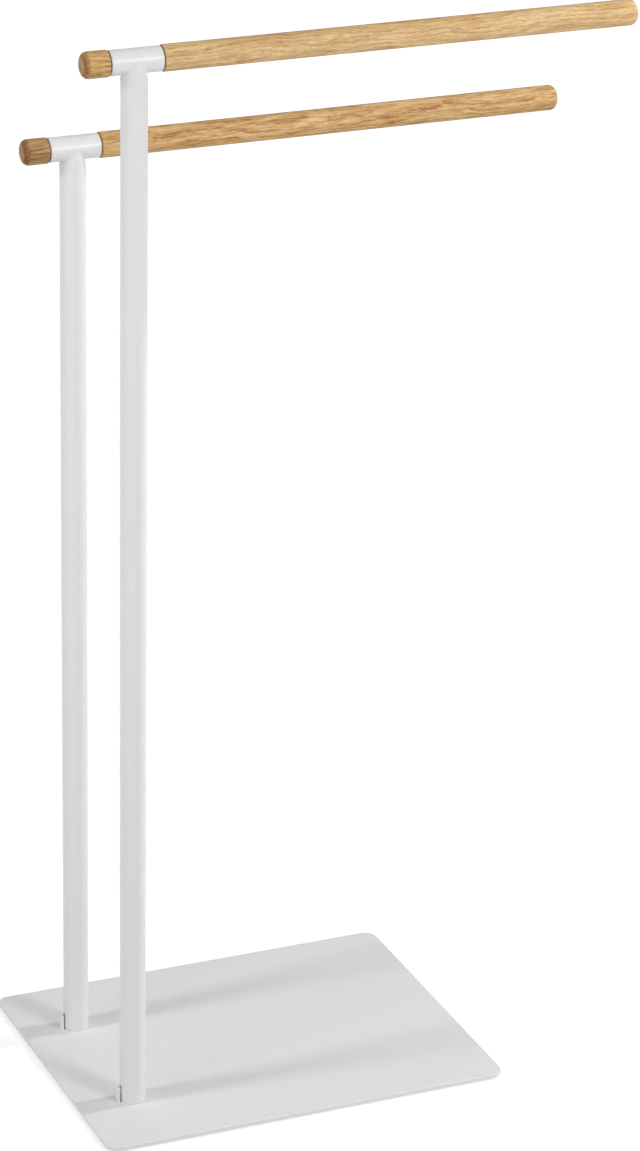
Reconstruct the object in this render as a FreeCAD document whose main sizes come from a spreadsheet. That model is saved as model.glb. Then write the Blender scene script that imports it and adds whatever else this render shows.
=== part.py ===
import FreeCAD, Part
import Sketcher
import os

# Freestanding towel stand: a flat steel base plate, two round steel uprights of unequal height
# near its left edge, a cross sleeve welded on each, and an oak rail and an oak stub in each sleeve.
# Frame: origin on the floor under the middle of the base plate, +X along the rails to their free
# ends, +Y from the front upright to the rear one, +Z up. Sizes are in millimetres.

DIMENSIONS = {
    # base plate and the lining glued under it
    "base_length": 336.0,
    "base_width": 264.0,
    "base_thickness": 3.0,
    "base_corner": 10.0,
    "base_edge": 0.6,
    "lining_thickness": 2.0,
    "lining_inset": 4.0,
    "lining_window": 16.0,
    # uprights
    "upright_setback": 123.0,
    "upright_spacing": 128.0,
    "tube_outer": 20.0,
    "tube_wall": 1.5,
    "tube_edge": 0.4,
    # sleeves, their axes at these heights; the uprights end a little below the axes
    "front_height": 845.0,
    "rear_height": 744.0,
    "sleeve_outer": 18.8,
    "sleeve_length": 40.0,
    "sleeve_edge": 0.8,
    "cope_drop": 3.0,
    "vent_hole": 6.0,
    # threaded plug in the foot of each upright
    "plug_length": 20.0,
    "plug_edge": 0.5,
    # key beside each foot, its web in a slot of the tube and a keyway of the plug
    "key_gap": 1.0,
    "key_thickness": 2.2,
    "key_width": 4.4,
    "key_web": 1.2,
    "key_height": 12.5,
    "key_edge": 0.4,
    "keyway_width": 3.4,
    "keyway_depth": 2.5,
    "keyway_height": 13.5,
    "key_clearance": 0.4,
    # M6 foot screw with a countersunk head, flush with the underside of the plate
    "thread_outer": 6.0,
    "screw_length": 16.0,
    "screw_head": 11.8,
    "screw_rim": 0.1,
    "screw_hole": 6.4,
    "countersink": 2.9,
    "socket_flats": 4.0,
    "socket_depth": 2.2,
    # oak rails and stubs, with a collar against the end of the sleeve and a tenon that fills it
    "rail_outer": 19.8,
    "rail_reach": 378.5,
    "stub_reach": 20.4,
    "oak_round": 5.0,
    "shoulder_edge": 0.8,
    "collar_outer": 17.4,
    "collar_length": 0.8,
    "tenon_outer": 15.6,
    "tenon_depth": 12.0,
    "pilot_depth": 15.0,
    # M6 screw-in insert in each tenon, and the stud that joins the two inserts of a sleeve
    "insert_root": 8.6,
    "insert_crest": 10.0,
    "insert_length": 13.0,
    "insert_pitch": 3.0,
    "slot_width": 1.4,
    "slot_depth": 2.0,
    "stud_length": 35.0,
    "stud_edge": 0.8,
}
INSERT_RIDGES = 4
NEAR = 1e-4

doc = FreeCAD.newDocument("towel_stand")
sheet = doc.addObject("Spreadsheet::Sheet", "dims")
for row, (alias, size) in enumerate(DIMENSIONS.items(), start=1):
    sheet.set("A%d" % row, alias)
    sheet.set("B%d" % row, str(size))
    sheet.setAlias("B%d" % row, alias)
doc.recompute()


# ---- bodies and sketches: every size and place is an expression on the sheet ----

def size_of(expression):
    """The number that a sheet expression gives."""
    return float(sheet.evalExpression(expression))


def make_body(name, x="0", y="0", z="0", turn=0.0):
    """An empty body at the given place, turned about the vertical by so many degrees."""
    body = doc.addObject("PartDesign::Body", name)
    body.Label = name
    upright_axis = FreeCAD.Vector(0, 0, 1)
    body.Placement = FreeCAD.Placement(FreeCAD.Vector(), FreeCAD.Rotation(upright_axis, turn))
    for axis, expression in (("x", x), ("y", y), ("z", z)):
        body.setExpression("Placement.Base." + axis, expression)
    return body


def make_sketch(body, plane, name):
    """A sketch on one of the body's own origin planes."""
    sketch = body.newObject("Sketcher::SketchObject", name)
    support = [feature for feature in body.Origin.OriginFeatures if feature.Role == plane][0]
    sketch.AttachmentSupport = [(support, "")]
    sketch.MapMode = "FlatFace"
    return sketch


def hold(sketch, kind, references, expression):
    """Add one driving constraint and bind it to the sheet."""
    index = sketch.addConstraint(Sketcher.Constraint(kind, *references, size_of(expression)))
    sketch.setExpression("Constraints[%d]" % index, expression)


def draw_outline(sketch, points):
    """A closed chain of lines through points, each a pair of sheet expressions."""
    first = sketch.GeometryCount
    count = len(points)
    spots = [FreeCAD.Vector(size_of(x), size_of(y), 0) for x, y in points]
    for i in range(count):
        sketch.addGeometry(Part.LineSegment(spots[i], spots[(i + 1) % count]), False)
    for i in range(count):
        following = first + (i + 1) % count
        sketch.addConstraint(Sketcher.Constraint("Coincident", first + i, 2, following, 1))
    for i, (x, y) in enumerate(points):
        hold(sketch, "DistanceX", (-1, 1, first + i, 1), x)
        hold(sketch, "DistanceY", (-1, 1, first + i, 1), y)


def draw_rectangle(sketch, left, right, low, high):
    """A rectangle between four sheet expressions."""
    draw_outline(sketch, [(left, low), (right, low), (right, high), (left, high)])


def draw_circle(sketch, diameter, x="0", y="0"):
    """A circle of a given diameter at a given place."""
    index = sketch.GeometryCount
    centre = FreeCAD.Vector(size_of(x), size_of(y), 0)
    normal = FreeCAD.Vector(0, 0, 1)
    sketch.addGeometry(Part.Circle(centre, normal, size_of(diameter) / 2), False)
    hold(sketch, "Diameter", (index,), diameter)
    hold(sketch, "DistanceX", (-1, 1, index, 3), x)
    hold(sketch, "DistanceY", (-1, 1, index, 3), y)


# ---- features ----

def add_pad(body, sketch, name, length, symmetric=False, backwards=False):
    """Extrude a sketch."""
    pad = body.newObject("PartDesign::Pad", name)
    pad.Profile = sketch
    pad.setExpression("Length", length)
    pad.SideType = "Symmetric" if symmetric else "One side"
    pad.Reversed = backwards
    doc.recompute()
    return pad


def add_pocket(body, sketch, name, length, symmetric=False, backwards=False):
    """Cut a sketch into the body, and stop if the cut missed it."""
    before = body.Shape.Volume
    pocket = body.newObject("PartDesign::Pocket", name)
    pocket.Profile = sketch
    pocket.setExpression("Length", length)
    pocket.SideType = "Symmetric" if symmetric else "One side"
    pocket.Reversed = backwards
    doc.recompute()
    if body.Shape.Volume > before - NEAR:
        raise RuntimeError("%s: %s cuts nothing" % (body.Label, name))
    return pocket


def add_revolution(body, sketch, name, axis):
    """Turn a sketch a full circle about its own horizontal or vertical axis."""
    revolution = body.newObject("PartDesign::Revolution", name)
    revolution.Profile = sketch
    revolution.ReferenceAxis = (sketch, [axis])
    revolution.Angle = 360
    doc.recompute()
    return revolution


def edges_where(feature, wanted):
    """Names of the edges that a test picks."""
    edges = feature.Shape.Edges
    return ["Edge%d" % (i + 1) for i, edge in enumerate(edges) if wanted(edge)]


def dress_edges(body, kind, name, size, wanted):
    """Round or chamfer the edges of the body's tip that a test picks."""
    base = body.Tip
    names = edges_where(base, wanted)
    if not names:
        raise RuntimeError("%s: %s finds no edge" % (body.Label, name))
    dress = body.newObject("PartDesign::" + kind, name)
    dress.Base = (base, names)
    dress.setExpression("Radius" if kind == "Fillet" else "Size", size)
    doc.recompute()
    return dress


def spans(edge, axis, low, high=None):
    """True if an edge runs from one place to another along an axis, or lies at one place."""
    box = edge.BoundBox
    box_low, box_high = {
        "x": (box.XMin, box.XMax),
        "y": (box.YMin, box.YMax),
        "z": (box.ZMin, box.ZMax),
    }[axis]
    high = low if high is None else high
    return abs(box_low - low) < 0.01 and abs(box_high - high) < 0.01


def ring_edge(edge, diameter):
    """True if an edge is a circle of a given diameter."""
    return hasattr(edge.Curve, "Radius") and abs(edge.Curve.Radius - diameter / 2) < 0.01


# ---- base ----

UPRIGHT_X = "-dims.upright_setback"
UPRIGHT_Y = {"front": "-dims.upright_spacing / 2", "rear": "dims.upright_spacing / 2"}
PLATE_TOP = "dims.lining_thickness + dims.base_thickness"
KEY_OUTER = "-(dims.tube_outer / 2 + dims.key_gap + dims.key_thickness)"
KEY_INNER = "-(dims.tube_outer / 2 + dims.key_gap)"
KEY_SLOT_END = "-(dims.tube_outer / 2 - dims.tube_edge)"
KEYWAY_REAR = "dims.key_width / 2 + dims.key_clearance"


def make_rounded_sheet(name, z, inset, thickness):
    """A flat rectangle with rounded corners, a given inset inside the base plate's outline."""
    body = make_body(name, z=z)
    half_length = "(dims.base_length / 2 - %s)" % inset
    half_width = "(dims.base_width / 2 - %s)" % inset
    outline = make_sketch(body, "XY_Plane", name + "_outline")
    draw_rectangle(outline, "-" + half_length, half_length, "-" + half_width, half_width)
    add_pad(body, outline, name + "_pad", thickness)
    depth = size_of(thickness)
    dress_edges(body, "Fillet", name + "_corners", "dims.base_corner - " + inset,
                lambda edge: spans(edge, "z", 0, depth))
    return body


def make_base_plate():
    """The steel plate, with two countersunk screw holes and two slots for the keys' tenons.

    Each slot runs on from the key to the foot of the tube, as a drain for the keyway.
    """
    body = make_rounded_sheet("base_plate", "dims.lining_thickness", "0", "dims.base_thickness")
    long_edge = DIMENSIONS["base_width"] / 2
    corner = 2 * DIMENSIONS["base_corner"]
    dress_edges(body, "Fillet", "base_plate_rim", "dims.base_edge",
                lambda edge: edge.Length > long_edge or ring_edge(edge, corner))
    holes = make_sketch(body, "XY_Plane", "base_plate_holes")
    for side in UPRIGHT_Y:
        draw_circle(holes, "dims.screw_hole", UPRIGHT_X, UPRIGHT_Y[side])
        draw_rectangle(holes, "%s + %s" % (UPRIGHT_X, KEY_OUTER),
                       "%s + %s" % (UPRIGHT_X, KEY_SLOT_END),
                       "%s - dims.key_width / 2" % UPRIGHT_Y[side],
                       "%s + dims.key_width / 2" % UPRIGHT_Y[side])
    add_pocket(body, holes, "base_plate_hole_cut", "dims.base_thickness", backwards=True)
    hole = DIMENSIONS["screw_hole"]
    dress_edges(body, "Chamfer", "base_plate_countersinks", "dims.countersink",
                lambda edge: ring_edge(edge, hole) and spans(edge, "z", 0))


def make_base_lining():
    """The soft sheet under the plate, with a window round each screw head."""
    body = make_rounded_sheet("base_lining", "0", "dims.lining_inset", "dims.lining_thickness")
    windows = make_sketch(body, "XY_Plane", "base_lining_windows")
    for side in UPRIGHT_Y:
        draw_circle(windows, "dims.lining_window", UPRIGHT_X, UPRIGHT_Y[side])
    add_pocket(body, windows, "base_lining_window_cut", "dims.lining_thickness", backwards=True)


# ---- foot joint: key, plug and screw ----

def make_foot_key(side):
    """A steel key of L section on the plate, its tenon down through the plate."""
    name = side + "_foot_key"
    body = make_body(name, UPRIGHT_X, UPRIGHT_Y[side], PLATE_TOP)
    half_flange = "dims.key_width / 2"
    web_front = "(dims.key_width / 2 - dims.key_web)"
    web_end = "-(dims.tube_outer / 2 - dims.tube_wall - dims.keyway_depth + dims.key_clearance)"
    section = make_sketch(body, "XY_Plane", name + "_section")
    draw_outline(section, [
        (KEY_OUTER, "-" + half_flange),
        (KEY_INNER, "-" + half_flange),
        (KEY_INNER, web_front),
        (web_end, web_front),
        (web_end, half_flange),
        (KEY_OUTER, half_flange),
    ])
    add_pad(body, section, name + "_upstand", "dims.key_height")
    top = DIMENSIONS["key_height"]
    outer = size_of(KEY_OUTER)
    dress_edges(body, "Fillet", name + "_edges", "dims.key_edge",
                lambda edge: spans(edge, "z", top) or spans(edge, "x", outer) and spans(edge, "z", 0, top))
    tenon = make_sketch(body, "XY_Plane", name + "_tenon_section")
    draw_rectangle(tenon, KEY_OUTER, KEY_INNER, "-" + half_flange, half_flange)
    add_pad(body, tenon, name + "_tenon", "dims.base_thickness", backwards=True)


def cut_keyway(body, name, floor):
    """A slot up from the foot, from outside the tube in to a given depth."""
    keyway = make_sketch(body, "XY_Plane", name + "_keyway_section")
    front = "%s - dims.keyway_width" % KEYWAY_REAR
    draw_rectangle(keyway, "-(dims.tube_outer / 2 + 1)", floor, front, KEYWAY_REAR)
    add_pocket(body, keyway, name + "_keyway", "dims.keyway_height", backwards=True)


def make_foot_plug(side):
    """The steel plug welded in the foot of the tube, tapped right through."""
    name = side + "_foot_plug"
    body = make_body(name, UPRIGHT_X, UPRIGHT_Y[side], PLATE_TOP)
    radius = "(dims.tube_outer / 2 - dims.tube_wall)"
    section = make_sketch(body, "XZ_Plane", name + "_section")
    draw_rectangle(section, "dims.thread_outer / 2", radius, "0", "dims.plug_length")
    add_revolution(body, section, name + "_turned", "V_Axis")
    bore = 2 * size_of(radius)
    dress_edges(body, "Chamfer", name + "_edges", "dims.plug_edge", lambda edge: ring_edge(edge, bore))
    cut_keyway(body, name, "-%s + dims.keyway_depth" % radius)


def make_foot_screw(side):
    """The countersunk screw, its head down in the plate and its shank up in the plug."""
    name = side + "_foot_screw"
    body = make_body(name, UPRIGHT_X, UPRIGHT_Y[side], "dims.lining_thickness")
    shank = "dims.thread_outer / 2"
    head = "dims.screw_head / 2"
    section = make_sketch(body, "XZ_Plane", name + "_section")
    draw_outline(section, [
        ("0", "0"),
        (head, "0"),
        (head, "dims.screw_rim"),
        (shank, "dims.screw_rim + %s - %s" % (head, shank)),
        (shank, "dims.screw_length"),
        ("0", "dims.screw_length"),
    ])
    add_revolution(body, section, name + "_turned", "V_Axis")
    tip = DIMENSIONS["screw_length"]
    dress_edges(body, "Chamfer", name + "_tip", "dims.stud_edge", lambda edge: spans(edge, "z", tip))
    socket = make_sketch(body, "XY_Plane", name + "_socket_section")
    corner = "dims.socket_flats / sqrt(3)"
    draw_outline(socket, [("%s * cos(%d deg)" % (corner, angle), "%s * sin(%d deg)" % (corner, angle))
                          for angle in range(0, 360, 60)])
    add_pocket(body, socket, name + "_socket", "dims.socket_depth", backwards=True)


# ---- uprights and sleeves ----

def make_upright(side):
    """A tube from the plate to the sleeve, coped to the sleeve and slotted for the key."""
    name = side + "_upright"
    body = make_body(name, UPRIGHT_X, UPRIGHT_Y[side], PLATE_TOP)
    axis = "dims.%s_height - (%s)" % (side, PLATE_TOP)
    section = make_sketch(body, "XY_Plane", name + "_section")
    draw_circle(section, "dims.tube_outer")
    draw_circle(section, "dims.tube_outer - 2 * dims.tube_wall")
    add_pad(body, section, name + "_tube", axis + " - dims.cope_drop")
    outer = DIMENSIONS["tube_outer"]
    dress_edges(body, "Chamfer", name + "_foot_edge", "dims.tube_edge",
                lambda edge: ring_edge(edge, outer) and spans(edge, "z", 0))
    cope = make_sketch(body, "YZ_Plane", name + "_cope_section")
    draw_circle(cope, "dims.sleeve_outer", "0", axis)
    add_pocket(body, cope, name + "_cope", "2 * dims.tube_outer", symmetric=True)
    cut_keyway(body, name, "-(dims.tube_outer / 2 - dims.tube_wall - 1)")


def make_sleeve(side):
    """The cross tube on top of the upright, with a vent hole down into it."""
    name = side + "_sleeve"
    body = make_body(name, UPRIGHT_X, UPRIGHT_Y[side], "dims.%s_height" % side)
    section = make_sketch(body, "YZ_Plane", name + "_section")
    draw_circle(section, "dims.sleeve_outer")
    draw_circle(section, "dims.sleeve_outer - 2 * dims.tube_wall")
    add_pad(body, section, name + "_tube", "dims.sleeve_length", symmetric=True)
    outer = DIMENSIONS["sleeve_outer"]
    dress_edges(body, "Fillet", name + "_rims", "dims.sleeve_edge", lambda edge: ring_edge(edge, outer))
    vent = make_sketch(body, "XY_Plane", name + "_vent_section")
    draw_circle(vent, "dims.vent_hole")
    add_pocket(body, vent, name + "_vent", "dims.sleeve_outer")


# ---- oak rails and stubs, and what holds them ----

def make_turned_oak(name, side, reach, turn):
    """A turned oak bar from the end of the sleeve outwards, its tenon back in the sleeve.

    A low collar between the two bears on the sleeve and leaves a narrow groove round the joint.
    """
    half_sleeve = "dims.sleeve_length / 2"
    sign = "-" if turn else "+"
    body = make_body(name, "%s %s %s" % (UPRIGHT_X, sign, half_sleeve), UPRIGHT_Y[side],
                     "dims.%s_height" % side, turn)
    radius = "dims.rail_outer / 2"
    collar = "dims.collar_outer / 2"
    tenon = "dims.tenon_outer / 2"
    pilot = "dims.insert_root / 2"
    pilot_end = "dims.pilot_depth - dims.tenon_depth"
    section = make_sketch(body, "XZ_Plane", name + "_section")
    draw_outline(section, [
        ("-dims.tenon_depth", pilot),
        ("-dims.tenon_depth", tenon),
        ("0", tenon),
        ("0", collar),
        ("dims.collar_length", collar),
        ("dims.collar_length", radius),
        (reach, radius),
        (reach, "0"),
        (pilot_end, "0"),
        (pilot_end, pilot),
    ])
    add_revolution(body, section, name + "_turned", "H_Axis")
    end = size_of(reach)
    outer = DIMENSIONS["rail_outer"]
    dress_edges(body, "Fillet", name + "_end", "dims.oak_round",
                lambda edge: ring_edge(edge, outer) and spans(edge, "x", end))
    shoulder = DIMENSIONS["collar_length"]
    dress_edges(body, "Fillet", name + "_shoulder", "dims.shoulder_edge",
                lambda edge: ring_edge(edge, outer) and spans(edge, "x", shoulder))


def make_insert(name, side, turn):
    """A screw-in insert in the mouth of a tenon, with ridges that grip the wood."""
    inside = "dims.sleeve_length / 2 - dims.tenon_depth"
    sign = "-" if turn else "+"
    body = make_body(name, "%s %s (%s)" % (UPRIGHT_X, sign, inside), UPRIGHT_Y[side],
                     "dims.%s_height" % side, turn)
    bore = "dims.thread_outer / 2"
    root = "dims.insert_root / 2"
    crest = "dims.insert_crest / 2"
    points = [("dims.insert_length", bore), ("0", bore), ("0", root)]
    for ridge in range(INSERT_RIDGES):
        points.append(("dims.insert_pitch * %g" % (ridge + 0.5), crest))
        points.append(("dims.insert_pitch * %g" % (ridge + 1), root))
    points.append(("dims.insert_length", root))
    section = make_sketch(body, "XZ_Plane", name + "_section")
    draw_outline(section, points)
    add_revolution(body, section, name + "_turned", "H_Axis")
    slot = make_sketch(body, "XZ_Plane", name + "_slot_section")
    draw_rectangle(slot, "0", "dims.slot_depth", "-dims.slot_width / 2", "dims.slot_width / 2")
    add_pocket(body, slot, name + "_slot", "2 * dims.insert_crest", symmetric=True)


def make_stud(side):
    """The stud through the sleeve, screwed into the inserts of rail and stub."""
    name = side + "_rail_stud"
    body = make_body(name, UPRIGHT_X, UPRIGHT_Y[side], "dims.%s_height" % side)
    section = make_sketch(body, "YZ_Plane", name + "_section")
    draw_circle(section, "dims.thread_outer")
    add_pad(body, section, name + "_rod", "dims.stud_length", symmetric=True)
    outer = DIMENSIONS["thread_outer"]
    dress_edges(body, "Chamfer", name + "_ends", "dims.stud_edge", lambda edge: ring_edge(edge, outer))


make_base_plate()
make_base_lining()
for side in UPRIGHT_Y:
    make_foot_key(side)
    make_foot_plug(side)
    make_foot_screw(side)
    make_upright(side)
    make_sleeve(side)
    make_turned_oak(side + "_rail", side, "dims.rail_reach", 0.0)
    make_turned_oak(side + "_stub", side, "dims.stub_reach", 180.0)
    make_insert(side + "_rail_insert", side, 0.0)
    make_insert(side + "_stub_insert", side, 180.0)
    make_stud(side)
doc.recompute()


# ---- check, then write one file for each sub-part ----

for item in doc.Objects:
    if "Invalid" in item.State or "Error" in item.State:
        raise RuntimeError("%s failed: %s" % (item.Label, item.State))
bodies = [item for item in doc.Objects if item.TypeId == "PartDesign::Body"]
for body in bodies:
    if body.Shape.isNull() or not body.Shape.isValid() or len(body.Shape.Solids) != 1:
        raise RuntimeError("%s is not one valid solid" % body.Label)
os.makedirs("parts", exist_ok=True)
for body in bodies:
    body.Shape.exportStep(os.path.join("parts", body.Label + ".step"))
    box = body.Shape.BoundBox
    print("%-20s %9.1f mm3  x %.1f..%.1f  y %.1f..%.1f  z %.1f..%.1f" % (
        body.Label, body.Shape.Volume, box.XMin, box.XMax, box.YMin, box.YMax, box.ZMin, box.ZMax))
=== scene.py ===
import math

import bpy
from mathutils import Matrix, Vector


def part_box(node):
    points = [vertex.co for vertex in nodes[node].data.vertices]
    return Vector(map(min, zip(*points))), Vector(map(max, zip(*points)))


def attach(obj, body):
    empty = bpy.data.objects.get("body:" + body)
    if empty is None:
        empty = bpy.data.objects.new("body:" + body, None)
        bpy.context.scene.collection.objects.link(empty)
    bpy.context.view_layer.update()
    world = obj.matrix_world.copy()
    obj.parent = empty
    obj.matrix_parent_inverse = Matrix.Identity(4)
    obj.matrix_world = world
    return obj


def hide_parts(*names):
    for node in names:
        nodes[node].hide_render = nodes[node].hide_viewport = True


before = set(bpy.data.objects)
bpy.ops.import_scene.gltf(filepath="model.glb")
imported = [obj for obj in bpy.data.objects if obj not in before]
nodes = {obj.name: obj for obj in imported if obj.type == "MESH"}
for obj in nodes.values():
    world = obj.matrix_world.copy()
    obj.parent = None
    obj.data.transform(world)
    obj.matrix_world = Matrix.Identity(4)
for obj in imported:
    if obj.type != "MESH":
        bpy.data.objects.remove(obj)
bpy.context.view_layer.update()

# Camera: a long lens, standing to the left of the stand and looking down on it a little, rolled by
# about a degree. Its angles are turned in the order yaw, tilt, roll.
LENS = 137.71
SENSOR_WIDTH = 36.0
SIGHT_END = 50.0
CAMERA_PLACE = (-1.2077, -2.8996, 1.7054)
CAMERA_YAW = math.radians(-23.56)
CAMERA_TILT = math.radians(90.0 - 22.46)
CAMERA_ROLL = math.radians(1.10)

camera_data = bpy.data.cameras.new("camera")
camera_data.lens = LENS
camera_data.sensor_width = SENSOR_WIDTH
camera_data.clip_end = SIGHT_END
camera = bpy.data.objects.new("camera", camera_data)
camera.matrix_world = (
    Matrix.Translation(CAMERA_PLACE)
    @ Matrix.Rotation(CAMERA_YAW, 4, "Z")
    @ Matrix.Rotation(CAMERA_TILT, 4, "X")
    @ Matrix.Rotation(CAMERA_ROLL, 4, "Z")
)
bpy.context.scene.collection.objects.link(camera)
bpy.context.scene.camera = camera
bpy.context.scene.view_settings.view_transform = "Standard"

# Studio: a seamless white floor that keeps the stand's shadow, a white room around it, and a soft
# box to the right of the camera. Two small lamps stand in line with the rails, one at each end, and
# dim panels fill both sides.
WHITE = (1.0, 1.0, 1.0, 1.0)
ROOM_FILL = 0.32
ROOM_SLOPE = (0.0, -0.16, -0.09)
FLOOR_HALF = 6.0
FLOOR_DROP = 0.0002
FLOOR_GREY = (0.80, 0.80, 0.80, 1.0)
GLOW_START = 0.4
GLOW_END = 2.5
FLOOR_GLOW_NEAR = 0.50
FLOOR_GLOW_FAR = 0.86
STAND_AIM = (-0.1, -0.05, 0.5)
PLATE_AIM = (0.1, 0.0, 0.0)
TOP_AIM = (-0.12, 0.0, 0.85)
OPEN_SPREAD = 180.0
GRID_SPREAD = 60.0


def added(tree, kind, sockets=None, **settings):
    """One shader node, with its settings, each socket set to a value or linked to an output."""
    made = tree.nodes.new("ShaderNode" + kind)
    for name, value in settings.items():
        setattr(made, name, value)
    for socket, value in (sockets or {}).items():
        if isinstance(value, bpy.types.NodeSocket):
            tree.links.new(value, made.inputs[socket])
        else:
            made.inputs[socket].default_value = value
    return made


def seen_directly(tree):
    """1 for a ray from the camera, or a mirrored or let-through one, and 0 for scattered light."""
    path = added(tree, "LightPath").outputs
    mirrored = added(tree, "Math", {0: path["Is Camera Ray"], 1: path["Is Glossy Ray"]},
                     operation="MAXIMUM")
    through = added(tree, "Math", {0: mirrored.outputs[0], 1: path["Is Transmission Ray"]},
                    operation="MAXIMUM")
    return through.outputs[0]


room = bpy.data.worlds.new("white_room")
bpy.context.scene.world = room
room.use_nodes = True
room_tree = room.node_tree
room_tree.nodes.clear()
way_out = added(room_tree, "TexCoord").outputs["Generated"]
lean = added(room_tree, "VectorMath", {0: way_out, 1: ROOM_SLOPE}, operation="DOT_PRODUCT")
level = added(room_tree, "Math", {0: lean.outputs["Value"], 1: ROOM_FILL}, operation="ADD")
fill = added(room_tree, "Background", {"Color": WHITE, "Strength": level.outputs[0]})
white = added(room_tree, "Background", {"Color": WHITE, "Strength": 1.0})
either = added(room_tree, "MixShader", {0: seen_directly(room_tree), 1: fill.outputs[0],
                                        2: white.outputs[0]})
added(room_tree, "OutputWorld", {"Surface": either.outputs[0]})

bpy.ops.object.select_all(action="DESELECT")
bpy.ops.mesh.primitive_plane_add(size=2 * FLOOR_HALF, location=(0.0, 0.0, -FLOOR_DROP))
floor = bpy.context.object
floor.name = "floor"
paper = bpy.data.materials.new("white_floor")
paper.use_nodes = True
paper_tree = paper.node_tree
paper_tree.nodes.clear()
matt = added(paper_tree, "BsdfDiffuse", {"Color": FLOOR_GREY})
paper_place = added(paper_tree, "TexCoord").outputs["Object"]
away = added(paper_tree, "VectorMath", {0: paper_place}, operation="LENGTH").outputs["Value"]
lift = added(paper_tree, "MapRange", {"Value": away, "From Min": GLOW_START, "From Max": GLOW_END,
                                      "To Min": FLOOR_GLOW_NEAR, "To Max": FLOOR_GLOW_FAR})
glow = added(paper_tree, "Emission", {"Color": WHITE, "Strength": lift.outputs[0]})
lifted = added(paper_tree, "AddShader", {0: matt.outputs[0], 1: glow.outputs[0]})
shown = added(paper_tree, "MixShader", {0: seen_directly(paper_tree), 1: matt.outputs[0],
                                        2: lifted.outputs[0]})
added(paper_tree, "OutputMaterial", {"Surface": shown.outputs[0]})
floor.data.materials.append(paper)


def soft_lamp(name, place, aim, width, height, power, spread):
    """A rectangular soft box at place, turned to aim, its light held within the spread by a grid."""
    lamp_data = bpy.data.lights.new(name, "AREA")
    lamp_data.shape = "RECTANGLE"
    lamp_data.size = width
    lamp_data.size_y = height
    lamp_data.energy = power
    lamp_data.spread = math.radians(spread)
    lamp = bpy.data.objects.new(name, lamp_data)
    lamp.location = place
    lamp.rotation_mode = "QUATERNION"
    lamp.rotation_quaternion = (Vector(aim) - Vector(place)).to_track_quat("-Z", "Y")
    bpy.context.scene.collection.objects.link(lamp)


soft_lamp("key_lamp", (0.65, -1.52, 1.42), STAND_AIM, 0.39, 0.39, 11.3, OPEN_SPREAD)
soft_lamp("left_lamp", (-1.62, -0.06, 1.28), PLATE_AIM, 0.26, 0.35, 1.12, GRID_SPREAD)
soft_lamp("right_lamp", (1.48, -0.06, 1.47), STAND_AIM, 0.08, 0.17, 12.0, OPEN_SPREAD)
soft_lamp("right_panel", (2.20, -1.80, 0.90), STAND_AIM, 1.80, 1.80, 9.0, OPEN_SPREAD)
soft_lamp("left_panel", (-1.90, -0.75, 1.10), TOP_AIM, 0.50, 0.60, 1.30, GRID_SPREAD)

# Base plate, foot keys: flat steel, the plate with rounded corners and a fine rounded edge. The keys
# are welded on the plate, and all is coated with a satin white powder that bakes to a fine orange
# peel.
COAT_DARKER = (0.785, 0.785, 0.785, 1.0)
COAT_LIGHTER = (0.815, 0.815, 0.815, 1.0)
COAT_CLOUDS = 9.0
COAT_SKIN = 0.5
COAT_SKIN_ROUGHNESS = 0.26
SHEEN_PATCHES = 60.0
SHEEN_LOW = 0.62
SHEEN_HIGH = 0.70
PEEL_SCALE = 700.0
PEEL_STRENGTH = 0.25
PEEL_DEPTH = 0.00006


def powder_coat(name):
    """Satin white powder coat: faint clouds, a little unevenness of gloss, a fine orange peel."""
    coat = bpy.data.materials.new(name)
    coat.use_nodes = True
    tree = coat.node_tree
    shader = tree.nodes["Principled BSDF"]
    shader.inputs["IOR"].default_value = 1.5
    shader.inputs["Coat Weight"].default_value = COAT_SKIN
    shader.inputs["Coat Roughness"].default_value = COAT_SKIN_ROUGHNESS
    place = added(tree, "TexCoord").outputs["Object"]
    clouds = added(tree, "TexNoise", {"Vector": place, "Scale": COAT_CLOUDS, "Detail": 3.0})
    shade = added(tree, "MixRGB", {"Fac": clouds.outputs["Fac"], "Color1": COAT_DARKER,
                                   "Color2": COAT_LIGHTER})
    tree.links.new(shade.outputs[0], shader.inputs["Base Color"])
    sheen = added(tree, "TexNoise", {"Vector": place, "Scale": SHEEN_PATCHES, "Detail": 2.0})
    gloss = added(tree, "MapRange", {"Value": sheen.outputs["Fac"], "To Min": SHEEN_LOW,
                                     "To Max": SHEEN_HIGH})
    tree.links.new(gloss.outputs[0], shader.inputs["Roughness"])
    peel = added(tree, "TexNoise", {"Vector": place, "Scale": PEEL_SCALE, "Detail": 2.0})
    bump = added(tree, "Bump", {"Height": peel.outputs["Fac"], "Strength": PEEL_STRENGTH,
                                "Distance": PEEL_DEPTH})
    tree.links.new(bump.outputs[0], shader.inputs["Normal"])
    return coat


white_coat = powder_coat("white_powder_coat")
for name in ("base_plate", "front_foot_key", "rear_foot_key"):
    nodes[name].data.materials[0] = white_coat

# Frames: each side is one welded piece, a round steel upright that ends in a short, slightly slimmer
# cross sleeve. The seam is dressed smooth, so the coat runs over it in a tight hollow. The foot has
# a slot for the key.
RING_SIDES = 96
TUBE_WALL = 0.0015
TUBE_EDGE = 0.0004
TUBE_EDGE_ROWS = 3
SLEEVE_EDGE = 0.0008
SLEEVE_EDGE_ROWS = 5
RIM_MARGIN = 0.0012
SLOT_FRONT = -0.0008
SLOT_REAR = 0.0026
SLOT_HEIGHT = 0.0135
JOINT_REACH = 0.016
JOINT_ROWS = 14
WELD_REACH = 0.0034
WELD_EASE = 0.5
WELD_PASSES = 20
SWELL_REACH = 0.0045
SWELL_STEPS = 8
CREASE_ANGLE = math.radians(50)
SMOOTH_ANGLE = math.radians(40)
NEAR = 1e-5


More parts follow.
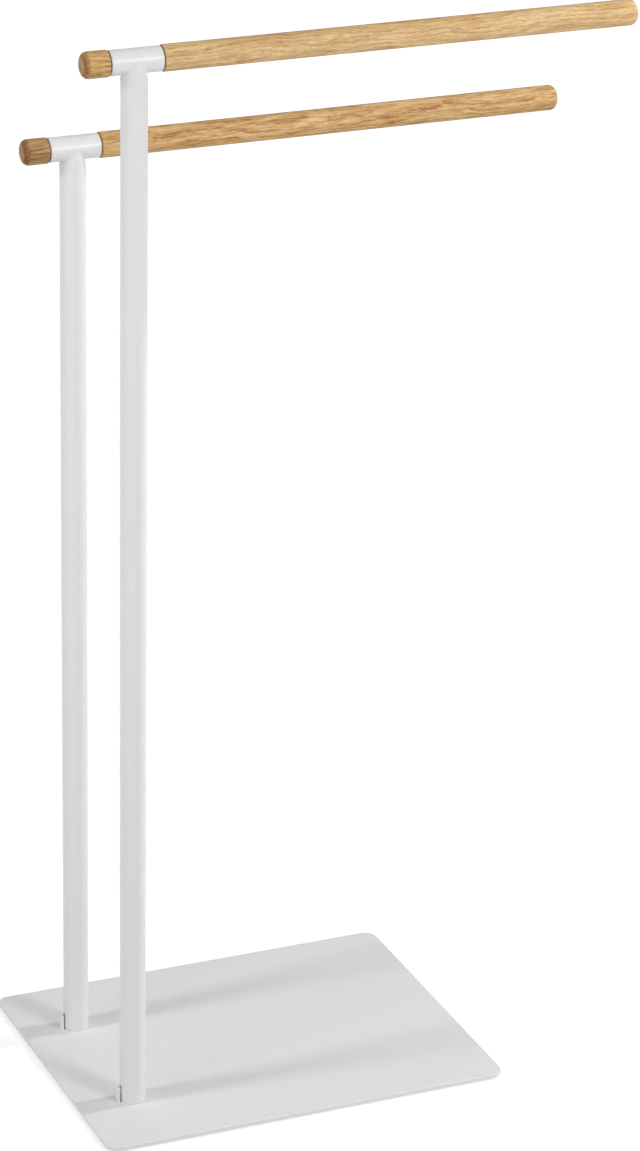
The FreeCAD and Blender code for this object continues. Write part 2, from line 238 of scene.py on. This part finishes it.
def cleared():
    """Leaves edit mode with nothing selected."""
    if bpy.context.object and bpy.context.object.mode != "OBJECT":
        bpy.ops.object.mode_set(mode="OBJECT")
    bpy.ops.object.select_all(action="DESELECT")


def pick(piece, kind, wanted):
    """In edit mode, selects the vertices, edges or faces that pass the test, and nothing else."""
    bpy.ops.object.mode_set(mode="OBJECT")
    mesh = piece.data
    for part in (mesh.vertices, mesh.edges, mesh.polygons):
        part.foreach_set("select", [False] * len(part))
    for element in getattr(mesh, kind):
        element.select = wanted(element)
    kinds = ("vertices", "edges", "polygons")
    bpy.context.tool_settings.mesh_select_mode = [kind == one for one in kinds]
    bpy.ops.object.mode_set(mode="EDIT")


def ends_of(piece, edge):
    """The two ends of an edge."""
    return [piece.data.vertices[i].co for i in edge.vertices]


def coped_upright(axis, foot, radius):
    """A tube from the foot up to the sleeve's axis, its top coped to the sleeve's round."""
    x, y, z = axis
    cleared()
    bpy.ops.mesh.primitive_cylinder_add(vertices=RING_SIDES, radius=radius, depth=z - foot,
                                        end_fill_type="NOTHING", location=(x, y, (z + foot) / 2))
    upright = bpy.context.object
    bpy.ops.object.transform_apply(location=True, rotation=True, scale=True)
    bpy.ops.object.mode_set(mode="EDIT")
    for level in (foot + SLOT_HEIGHT, z - JOINT_REACH):
        bpy.ops.mesh.select_all(action="SELECT")
        bpy.ops.mesh.bisect(plane_co=(x, y, level), plane_no=(0, 0, 1))
    for lean in (-1, 1):
        bpy.ops.mesh.select_all(action="SELECT")
        bpy.ops.mesh.bisect(plane_co=axis, plane_no=(lean, 0, 1), clear_outer=True)

    def rises_to_joint(edge):
        a, b = ends_of(upright, edge)
        in_joint = min(a.z, b.z) > z - JOINT_REACH - NEAR
        return in_joint and abs(a.z - b.z) > NEAR and (a.xy - b.xy).length < NEAR

    pick(upright, "edges", rises_to_joint)
    bpy.ops.mesh.subdivide(number_cuts=JOINT_ROWS)
    return upright


def slot_foot(upright, axis, foot, radius):
    """Cuts the slot for the key's web in the left of the foot."""
    x, y = axis[:2]

    def left_of_foot(face):
        return face.center.x < x - radius / 2 and face.center.z < foot + SLOT_HEIGHT

    def in_slot(face):
        return left_of_foot(face) and SLOT_FRONT < face.center.y - y < SLOT_REAR

    for side_of_slot in (SLOT_FRONT, SLOT_REAR):
        pick(upright, "polygons", left_of_foot)
        bpy.ops.mesh.bisect(plane_co=(x, y + side_of_slot, foot), plane_no=(0, 1, 0))
    pick(upright, "polygons", in_slot)
    bpy.ops.mesh.delete(type="FACE")


def opened_sleeve(axis, length, rim_line, radius):
    """A short tube across the upright, opened below where the upright meets it."""
    x, y, z = axis
    cleared()
    bpy.ops.mesh.primitive_cylinder_add(vertices=RING_SIDES, radius=radius, depth=length,
                                        end_fill_type="NOTHING", location=axis,
                                        rotation=(0, math.pi / 2, 0))
    sleeve = bpy.context.object
    bpy.ops.object.transform_apply(location=True, rotation=True, scale=True)
    bpy.ops.object.mode_set(mode="EDIT")
    bpy.ops.mesh.select_all(action="SELECT")
    bpy.ops.mesh.bisect(plane_co=axis, plane_no=(1, 0, 0))
    for lean in (-1, 1):
        pick(sleeve, "polygons", lambda face: face.center.z < z)
        bpy.ops.mesh.bisect(plane_co=axis, plane_no=(lean, 0, 1))
    pick(sleeve, "polygons", lambda face: abs(face.center.x - x) < z - face.center.z)
    bpy.ops.mesh.delete(type="FACE")
    for way in (-1, 1):
        bpy.ops.mesh.select_all(action="SELECT")
        bpy.ops.mesh.bisect(plane_co=(x + way * rim_line, y, z), plane_no=(1, 0, 0))

    def runs_between_rims(edge):
        a, b = ends_of(sleeve, edge)
        inside = max(abs(a.x - x), abs(b.x - x)) < rim_line + NEAR
        return inside and abs(a.x - b.x) > NEAR and (a.yz - b.yz).length < NEAR

    pick(sleeve, "edges", runs_between_rims)
    bpy.ops.mesh.subdivide(number_cuts=JOINT_ROWS)
    return sleeve


def weld(upright, sleeve, axis, radius):
    """Joins both along the seam, relaxes it into a hollow, and gives the tubes their wall."""
    cleared()
    sleeve.select_set(True)
    upright.select_set(True)
    bpy.context.view_layer.objects.active = upright
    bpy.ops.object.join()
    bpy.ops.object.mode_set(mode="EDIT")
    bpy.ops.mesh.select_all(action="SELECT")
    bpy.ops.mesh.remove_doubles(threshold=NEAR)
    bpy.ops.mesh.normals_make_consistent(inside=False)
    bpy.ops.object.mode_set(mode="OBJECT")
    seam = upright.vertex_groups.new(name="seam")
    for vertex in upright.data.vertices:
        across = vertex.co - Vector(axis)
        if across.z > 0 or across.z < -2 * radius:
            continue
        gap = abs(-across.z - abs(across.x)) / math.sqrt(2)
        weight = 1 - gap / WELD_REACH
        if weight > 0:
            seam.add([vertex.index], weight, "REPLACE")
    relax = upright.modifiers.new("weld", "SMOOTH")
    relax.factor = WELD_EASE
    relax.iterations = WELD_PASSES
    relax.vertex_group = "seam"
    wall = upright.modifiers.new("wall", "SOLIDIFY")
    wall.thickness = TUBE_WALL
    wall.offset = -1.0
    wall.use_even_offset = True
    bpy.ops.object.modifier_apply(modifier="weld")
    bpy.ops.object.modifier_apply(modifier="wall")


def round_rims(piece, axis, half_length, rim_line, radius):
    """Rounds the sleeve's ends well over, and breaks the other open edges."""
    centre = Vector(axis)

    def at_sleeve_end(edge):
        ends = [end - centre for end in ends_of(piece, edge)]
        return all(abs(abs(end.x) - half_length) < NEAR and end.yz.length > radius - TUBE_EDGE
                   for end in ends)

    pick(piece, "edges", at_sleeve_end)
    bpy.ops.mesh.bevel(offset=SLEEVE_EDGE, segments=SLEEVE_EDGE_ROWS, affect="EDGES")
    bpy.ops.mesh.select_all(action="DESELECT")
    bpy.ops.mesh.edges_select_sharp(sharpness=CREASE_ANGLE)
    bpy.ops.object.mode_set(mode="OBJECT")
    for edge in piece.data.edges:
        end = ends_of(piece, edge)[0] - centre
        edge.select = edge.select and (abs(end.x) > rim_line or end.z < -JOINT_REACH)
    bpy.ops.object.mode_set(mode="EDIT")
    bpy.ops.mesh.bevel(offset=TUBE_EDGE, segments=TUBE_EDGE_ROWS, affect="EDGES")
    bpy.ops.object.mode_set(mode="OBJECT")
    piece.vertex_groups.clear()


def swell_upright(piece, axis, ratio):
    """Below the seam the upright swells, within a few millimetres, to its own, larger round."""
    x, z = axis[0], axis[2]
    swell = ratio ** (1 / SWELL_STEPS)
    below = {vertex.index: z - vertex.co.z - abs(vertex.co.x - x)
             for vertex in piece.data.vertices}
    for step in range(SWELL_STEPS):
        start = SWELL_REACH * (step + 0.5) / SWELL_STEPS
        pick(piece, "vertices", lambda vertex: below[vertex.index] > start)
        bpy.ops.transform.resize(value=(swell, swell, 1.0), center_override=axis)
    cleared()


for side in ("front", "rear"):
    upright_low, upright_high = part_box(side + "_upright")
    sleeve_low, sleeve_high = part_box(side + "_sleeve")
    axis = ((upright_low.x + upright_high.x) / 2, (upright_low.y + upright_high.y) / 2,
            (sleeve_low.z + sleeve_high.z) / 2)
    foot = upright_low.z
    tube_radius = (upright_high.x - upright_low.x) / 2
    sleeve_radius = (sleeve_high.z - sleeve_low.z) / 2
    half_length = sleeve_high.x - axis[0]
    rim_line = half_length - RIM_MARGIN
    piece = coped_upright(axis, foot, sleeve_radius)
    slot_foot(piece, axis, foot, sleeve_radius)
    sleeve = opened_sleeve(axis, sleeve_high.x - sleeve_low.x, rim_line, sleeve_radius)
    weld(piece, sleeve, axis, sleeve_radius)
    round_rims(piece, axis, half_length, rim_line, sleeve_radius)
    swell_upright(piece, axis, tube_radius / sleeve_radius)
    piece.name = piece.data.name = side + "_frame"
    piece.select_set(True)
    bpy.context.view_layer.objects.active = piece
    bpy.ops.object.shade_smooth_by_angle(angle=SMOOTH_ANGLE)
    piece.data.materials.append(white_coat)
    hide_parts(side + "_upright", side + "_sleeve")
    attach(piece, "root")

# Rails and stubs: oak dowels turned on a lathe, each with a low collar against the sleeve and a
# tenon in it. The free end is rounded. They are sanded and finished with a matt clear oil, which
# looks darker on end grain.
DOWEL_SIDES = 128
COLLAR_RADIUS = 0.0087
COLLAR_LENGTH = 0.0008
TENON_RADIUS = 0.0078
TENON_DEPTH = 0.012
PILOT_RADIUS = 0.0043
PILOT_DEPTH = 0.015
SHOULDER_EDGE = 0.0008
SHOULDER_EDGE_ROWS = 4
OAK_ROUND = 0.005
OAK_ROUND_ROWS = 10
OAK_COLOURS = (
    (0.00, (0.93, 0.74, 0.50)),
    (0.28, (0.83, 0.60, 0.34)),
    (0.52, (0.70, 0.46, 0.23)),
    (0.78, (0.54, 0.30, 0.125)),
    (1.00, (0.38, 0.19, 0.075)),
)
OAK_HUES = ((0.36, (1.0, 1.0, 0.88)), (0.64, (1.0, 0.96, 1.0)))
OAK_PORE = (0.30, 0.15, 0.06, 1.0)
# colour of the painted shade along the dowel's outline
OAK_EDGE_SHADE = (0.27, 0.16, 0.07, 1.0)
# colour of the painted shade in the groove at the sleeve
OAK_GROOVE_SHADE = (0.10, 0.055, 0.03, 1.0)
OAK_DULL = (0.46, 0.64)
OAK_RELIEF = 0.00012
GROOVE_SHADE_REACH = 0.0010
RING_TONES = ((0.0, 0.55), (0.10, 1.0), (0.30, 0.55), (0.62, 0.12), (0.9, 0.05), (1.0, 0.5))
GRAIN_TILT = (0.0, 0.010, 0.016)
MILLIMETRES = (1000.0, 1000.0, 1000.0)
SLOW_SWAY = ((0.009, 0.03, 0.03), 16.0)
QUICK_SWAY = ((0.045, 0.12, 0.12), 3.6)
FIBRES = (0.085, 1.7, 1.7)
STREAKS = (0.034, 0.52, 0.52)
ZONES = (0.011, 0.20, 0.20)
DASHES = (0.17, 3.0, 3.0)
HUE_DRIFT = (0.020, 0.35, 0.35)
NOISE_SPAN = (0.34, 0.66)
PORE_SPAN = (0.56, 0.68)
EARLY_WOOD = (0.0, 0.8, 0.25, 1.0)
GRAZING_SHADE_SPAN = (0.62, 0.95, 0.0, 0.55)
RING_SHARE = 0.18
FIBRE_SHARE = 0.44
STREAK_SHARE = 0.26
ZONE_SHARE = 0.24
PORE_SHARE = 0.55
MEAN_DEPTH = 0.56
MEAN_STOP = 0.48
RAIL_END = ((0.30, (1.0, 1.0, 1.0)), (0.70, (0.95, 0.90, 0.84)), (1.0, (0.84, 0.80, 0.76)))
STUB_END = ((0.10, (1.0, 1.0, 1.0)), (0.38, (0.80, 0.72, 0.62)), (0.74, (0.55, 0.45, 0.36)),
            (0.95, (0.50, 0.40, 0.33)))
FRONT_STUB_END = STUB_END + ((0.985, (0.74, 0.67, 0.66)),)
REAR_STUB_END = STUB_END + ((0.985, (0.86, 0.80, 0.80)),)
# wood tones; the rear rail's and rear stub's are darker partly as painted shade cast by the front
# pieces
FRONT_RAIL_TONE = (0.95, 0.935, 0.845, 1.0)
REAR_RAIL_TONE_AND_SHADE = (0.84, 0.75, 0.57, 1.0)
FRONT_STUB_TONE = (0.82, 0.74, 0.56, 1.0)
REAR_STUB_TONE_AND_SHADE = (0.57, 0.48, 0.32, 1.0)


def colour_ramp(tree, factor, stops):
    """A colour ramp with the given stops, each a place and a colour."""
    ramp = added(tree, "ValToRGB", {"Fac": factor})
    elements = ramp.color_ramp.elements
    while len(elements) < len(stops):
        elements.new(0.5)
    for element, (position, colour) in zip(elements, stops):
        element.position = position
        element.color = (*colour, 1.0)
    return ramp.outputs[0]


def oak(name, tone_and_shade, pith, slide, ring, contrast, joint, end_stops):
    """Oiled oak: growth rings round a pith beside the dowel, streaks, fibres, pores, end grain."""
    wood = bpy.data.materials.new(name)
    wood.use_nodes = True
    tree = wood.node_tree
    shader = tree.nodes["Principled BSDF"]
    shader.inputs["IOR"].default_value = 1.45
    place = added(tree, "TexCoord").outputs["Object"]
    in_mm = added(tree, "Mapping", {"Vector": place, "Scale": MILLIMETRES,
                                    "Location": (slide, pith[0], pith[1]),
                                    "Rotation": GRAIN_TILT}).outputs[0]

    def stretched(scale, source, detail=2.0, rough=0.5):
        """Noise drawn out along the dowel."""
        spread = added(tree, "VectorMath", {0: source, 1: scale}, operation="MULTIPLY")
        return added(tree, "TexNoise", {"Vector": spread.outputs[0], "Scale": 1.0,
                                        "Detail": detail, "Roughness": rough})

    def ranged(value, low, high, start=0.0, stop=1.0):
        """A value spread from one range to another, and held at its ends."""
        return added(tree, "MapRange", {"Value": value, "From Min": low, "From Max": high,
                                        "To Min": start, "To Max": stop}).outputs[0]

    def worked(operation, first, second, clamped=False):
        """Two values worked into one."""
        return added(tree, "Math", {0: first, 1: second}, operation=operation,
                     use_clamp=clamped).outputs[0]

    def blended(factor, first, second, blend="MIX"):
        """Two colours blended into one."""
        return added(tree, "MixRGB", {"Fac": factor, "Color1": first, "Color2": second},
                     blend_type=blend).outputs[0]

    def swayed(source, scale, reach):
        """The place, pushed sideways by a slow noise, so that the grain wanders."""
        sway = stretched(scale, source, rough=0.55)
        centred = added(tree, "VectorMath", {0: sway.outputs["Color"], 1: (0.5, 0.5, 0.5)},
                        operation="SUBTRACT")
        return added(tree, "VectorMath", {0: centred.outputs[0], 1: (0.0, reach, reach), 2: source},
                     operation="MULTIPLY_ADD").outputs[0]

    # growth rings, fibres, streaks and zones, all along the same wandering grain
    grain = swayed(swayed(in_mm, *SLOW_SWAY), *QUICK_SWAY)
    across = added(tree, "VectorMath", {0: grain, 1: (0.0, 1.0, 1.0)}, operation="MULTIPLY")
    distance = added(tree, "VectorMath", {0: across.outputs[0]}, operation="LENGTH")
    phase = worked("FRACT", worked("DIVIDE", distance.outputs["Value"], ring), 0.0)
    growth = colour_ramp(tree, phase, [(stop, (grey,) * 3) for stop, grey in RING_TONES])
    fibres = stretched(FIBRES, grain, 4.0, 0.62).outputs["Fac"]
    thread = ranged(fibres, *NOISE_SPAN)
    flame = ranged(stretched(STREAKS, grain).outputs["Fac"], *NOISE_SPAN)
    zone = ranged(stretched(ZONES, grain).outputs["Fac"], *NOISE_SPAN)
    depth = worked("MULTIPLY", growth, RING_SHARE)
    for layer, share in ((thread, FIBRE_SHARE), (flame, STREAK_SHARE), (zone, ZONE_SHARE)):
        depth = added(tree, "Math", {0: layer, 1: share, 2: depth},
                      operation="MULTIPLY_ADD").outputs[0]
    swing = worked("MULTIPLY", worked("SUBTRACT", depth, MEAN_DEPTH), contrast)
    body = colour_ramp(tree, worked("ADD", swing, MEAN_STOP, True), OAK_COLOURS)

    # open pores along each ring's early wood, a slow drift of hue, and the board's tone (with
    # painted shade on rear pieces)
    dashes = stretched(DASHES, grain, 1.0, 0.4).outputs["Fac"]
    early = ranged(growth, *EARLY_WOOD)
    porous = worked("MULTIPLY", ranged(dashes, *PORE_SPAN), early)
    pored = blended(worked("MULTIPLY", porous, PORE_SHARE), body, OAK_PORE)
    drift = added(tree, "SeparateXYZ", {0: stretched(HUE_DRIFT, grain).outputs["Color"]})
    tinted = blended(1.0, pored, colour_ramp(tree, drift.outputs["Z"], OAK_HUES), "MULTIPLY")
    toned_and_shaded = blended(1.0, tinted, tone_and_shade, "MULTIPLY")

    # darker end grain, painted shade at the outline and painted shade in the groove
    facing = added(tree, "SeparateXYZ", {0: added(tree, "NewGeometry").outputs["Normal"]})
    endwise = worked("ABSOLUTE", facing.outputs["X"], 0.0)
    ended = blended(1.0, toned_and_shaded, colour_ramp(tree, endwise, end_stops), "MULTIPLY")
    # painted shade: the oak darkens towards its outline, where its surface turns away from the
    # camera
    edge_shade_mask = added(tree, "LayerWeight", {"Blend": 0.5}).outputs["Facing"]
    edge_shaded = blended(ranged(edge_shade_mask, *GRAZING_SHADE_SPAN), ended, OAK_EDGE_SHADE)
    # painted shade: the wood darkens within a millimetre of the sleeve's end, where the groove lies
    # in shade
    along = added(tree, "SeparateXYZ", {0: place}).outputs["X"]
    from_joint = worked("ABSOLUTE", worked("SUBTRACT", along, joint), 0.0)
    groove_shade = ranged(from_joint, GROOVE_SHADE_REACH * 0.45, GROOVE_SHADE_REACH, 0.85, 0.0)
    tree.links.new(blended(groove_shade, edge_shaded, OAK_GROOVE_SHADE), shader.inputs["Base Color"])
    tree.links.new(ranged(fibres, 0.3, 0.7, *OAK_DULL), shader.inputs["Roughness"])
    relief = worked("ADD", worked("MULTIPLY", thread, 0.5), porous)
    bump = added(tree, "Bump", {"Height": relief, "Strength": 0.4, "Distance": OAK_RELIEF},
                 invert=True)
    tree.links.new(bump.outputs[0], shader.inputs["Normal"])
    return wood


def turned_dowel(name, sleeve_end, free_end, across, radius, finish):
    """A dowel with a rounded free end, a collar, and a tenon with a blind hole for the insert."""
    out = 1 if free_end > sleeve_end else -1
    shoulder = sleeve_end + out * COLLAR_LENGTH
    middle = (shoulder + free_end) / 2
    cleared()
    bpy.ops.mesh.primitive_cylinder_add(vertices=DOWEL_SIDES, radius=radius,
                                        depth=abs(free_end - shoulder), end_fill_type="NGON",
                                        location=(middle, *across),
                                        rotation=(0, out * math.pi / 2, 0))
    dowel = bpy.context.object
    dowel.name = dowel.data.name = name
    bpy.ops.object.transform_apply(location=True, rotation=True, scale=True)
    bpy.ops.object.mode_set(mode="EDIT")
    pick(dowel, "polygons", lambda face: abs(face.center.x - free_end) < NEAR)
    bpy.ops.mesh.region_to_loop()
    bpy.ops.mesh.bevel(offset=OAK_ROUND, segments=OAK_ROUND_ROWS, profile=0.5, affect="EDGES")
    pick(dowel, "polygons", lambda face: abs(face.center.x - shoulder) < NEAR)
    for inner, outer, reach in ((COLLAR_RADIUS, radius, -COLLAR_LENGTH),
                                (TENON_RADIUS, COLLAR_RADIUS, -TENON_DEPTH),
                                (PILOT_RADIUS, TENON_RADIUS, PILOT_DEPTH)):
        bpy.ops.mesh.inset(thickness=outer - inner, use_even_offset=True)
        bpy.ops.mesh.extrude_region_move(TRANSFORM_OT_translate={"value": (out * reach, 0, 0)})

    def at_shoulder(edge):
        return all(abs(end.x - shoulder) < NEAR and
                   abs(math.hypot(end.y - across[0], end.z - across[1]) - radius) < NEAR
                   for end in ends_of(dowel, edge))

    pick(dowel, "edges", at_shoulder)
    bpy.ops.mesh.bevel(offset=SHOULDER_EDGE, segments=SHOULDER_EDGE_ROWS, affect="EDGES")
    bpy.ops.mesh.select_all(action="SELECT")
    bpy.ops.mesh.normals_make_consistent(inside=False)
    bpy.ops.object.mode_set(mode="OBJECT")
    bpy.ops.object.shade_smooth_by_angle(angle=SMOOTH_ANGLE)
    dowel.data.materials.append(finish)
    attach(dowel, "root")
    return dowel


# each row: piece, tone (on the rear pieces darkened by painted shade from the front pieces), pith
# beside the dowel and slide along it in mm, ring width in mm, contrast of the grain, end grain
DOWELS = (
    ("front_rail", FRONT_RAIL_TONE, (98.0, -800.0), 20.0, 3.4, 1.05, RAIL_END),
    ("front_stub", FRONT_STUB_TONE, (40.0, -858.0), 200.0, 2.3, 1.65, FRONT_STUB_END),
    ("rear_rail", REAR_RAIL_TONE_AND_SHADE, (-90.0, -712.0), 410.0, 3.0, 1.70, RAIL_END),
    ("rear_stub", REAR_STUB_TONE_AND_SHADE, (-85.0, -772.0), 640.0, 2.2, 1.85, REAR_STUB_END),
)
for name, tone_and_shade, pith, slide, ring, contrast, end_stops in DOWELS:
    low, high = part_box(name)
    sleeve_low, sleeve_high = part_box(name.split("_")[0] + "_sleeve")
    is_rail = name.endswith("rail")
    sleeve_end = sleeve_high.x if is_rail else sleeve_low.x
    free_end = high.x if is_rail else low.x
    across = ((low.y + high.y) / 2, (low.z + high.z) / 2)
    finish = oak("oak_" + name, tone_and_shade, pith, slide, ring, contrast, sleeve_end, end_stops)
    radius = min(high.y - low.y, high.z - low.z) / 2
    dowel = turned_dowel(name + "_oak", sleeve_end, free_end, across, radius, finish)
    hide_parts(name)

# Foot plugs and screws, rail studs: turned steel. The plugs are bare and welded in the feet of the
# uprights, and the zinc-plated screws and studs hold the feet to the plate and the rails to the
# stubs.
STEEL_GREY = (0.55, 0.55, 0.56)
ZINC_GREY = (0.62, 0.63, 0.65)
LINES_UP = (60.0, 60.0, 6000.0)
LINES_ALONG = (6000.0, 60.0, 60.0)
LATHE_STRENGTH = 0.3
LATHE_DEPTH = 0.00004
DULL_PATCHES = 240.0
PATCH_SHADE = 0.82


def turned_metal(name, colour, lines_way, low, high):
    """Bare or plated metal with fine lathe lines across the given way, and dull patches."""
    metal = bpy.data.materials.new(name)
    metal.use_nodes = True
    tree = metal.node_tree
    shader = tree.nodes["Principled BSDF"]
    shader.inputs["Metallic"].default_value = 1.0
    place = added(tree, "TexCoord").outputs["Object"]
    spread = added(tree, "VectorMath", {0: place, 1: lines_way}, operation="MULTIPLY")
    lines = added(tree, "TexNoise", {"Vector": spread.outputs[0], "Scale": 1.0, "Detail": 2.0})
    patches = added(tree, "TexNoise", {"Vector": place, "Scale": DULL_PATCHES, "Detail": 3.0})
    dull = added(tree, "MapRange", {"Value": patches.outputs["Fac"], "From Min": 0.35,
                                    "From Max": 0.65, "To Min": low, "To Max": high})
    tree.links.new(dull.outputs[0], shader.inputs["Roughness"])
    darker = tuple(PATCH_SHADE * part for part in colour)
    shade = added(tree, "MixRGB", {"Fac": patches.outputs["Fac"], "Color1": (*colour, 1.0),
                                   "Color2": (*darker, 1.0)})
    tree.links.new(shade.outputs[0], shader.inputs["Base Color"])
    bump = added(tree, "Bump", {"Height": lines.outputs["Fac"], "Strength": LATHE_STRENGTH,
                                "Distance": LATHE_DEPTH})
    tree.links.new(bump.outputs[0], shader.inputs["Normal"])
    return metal


bare_steel = turned_metal("turned_steel", STEEL_GREY, LINES_UP, 0.28, 0.42)
zinc_screw = turned_metal("zinc_screw", ZINC_GREY, LINES_UP, 0.24, 0.40)
zinc_stud = turned_metal("zinc_stud", ZINC_GREY, LINES_ALONG, 0.24, 0.40)
for side in ("front", "rear"):
    nodes[side + "_foot_plug"].data.materials[0] = bare_steel
    nodes[side + "_foot_screw"].data.materials[0] = zinc_screw
    nodes[side + "_rail_stud"].data.materials[0] = zinc_stud

# Inserts: turned brass sleeves with a coarse outer thread, screwed into the tenons of the rails and
# stubs, so that the studs have metal to hold in.
INSERT_BRASS = (0.72, 0.55, 0.26)
brass = turned_metal("turned_brass", INSERT_BRASS, LINES_ALONG, 0.26, 0.40)
for name in ("front_rail", "front_stub", "rear_rail", "rear_stub"):
    nodes[name + "_insert"].data.materials[0] = brass

# Base lining: a sheet of dark closed-cell foam, cut a little inside the plate's outline and glued
# under it. Its skin shows small cells, and it is a little dusty.
FOAM_DARK = (0.042, 0.042, 0.045, 1.0)
FOAM_DUSTY = (0.075, 0.074, 0.073, 1.0)
FOAM_CELLS = 900.0
FOAM_CELL_DEPTH = 0.0001
DUST_CLOUDS = 22.0

foam = bpy.data.materials.new("closed_cell_foam")
foam.use_nodes = True
foam_tree = foam.node_tree
foam_shader = foam_tree.nodes["Principled BSDF"]
foam_shader.inputs["IOR"].default_value = 1.4
foam_place = added(foam_tree, "TexCoord").outputs["Object"]
cells = added(foam_tree, "TexVoronoi", {"Vector": foam_place, "Scale": FOAM_CELLS})
dust = added(foam_tree, "TexNoise", {"Vector": foam_place, "Scale": DUST_CLOUDS, "Detail": 4.0})
foam_shade = added(foam_tree, "MixRGB", {"Fac": dust.outputs["Fac"], "Color1": FOAM_DARK,
                                         "Color2": FOAM_DUSTY})
foam_tree.links.new(foam_shade.outputs[0], foam_shader.inputs["Base Color"])
foam_dull = added(foam_tree, "MapRange", {"Value": dust.outputs["Fac"], "To Min": 0.75,
                                          "To Max": 0.95})
foam_tree.links.new(foam_dull.outputs[0], foam_shader.inputs["Roughness"])
foam_bump = added(foam_tree, "Bump", {"Height": cells.outputs["Distance"], "Strength": 0.5,
                                      "Distance": FOAM_CELL_DEPTH})
foam_tree.links.new(foam_bump.outputs[0], foam_shader.inputs["Normal"])
nodes["base_lining"].data.materials[0] = foam
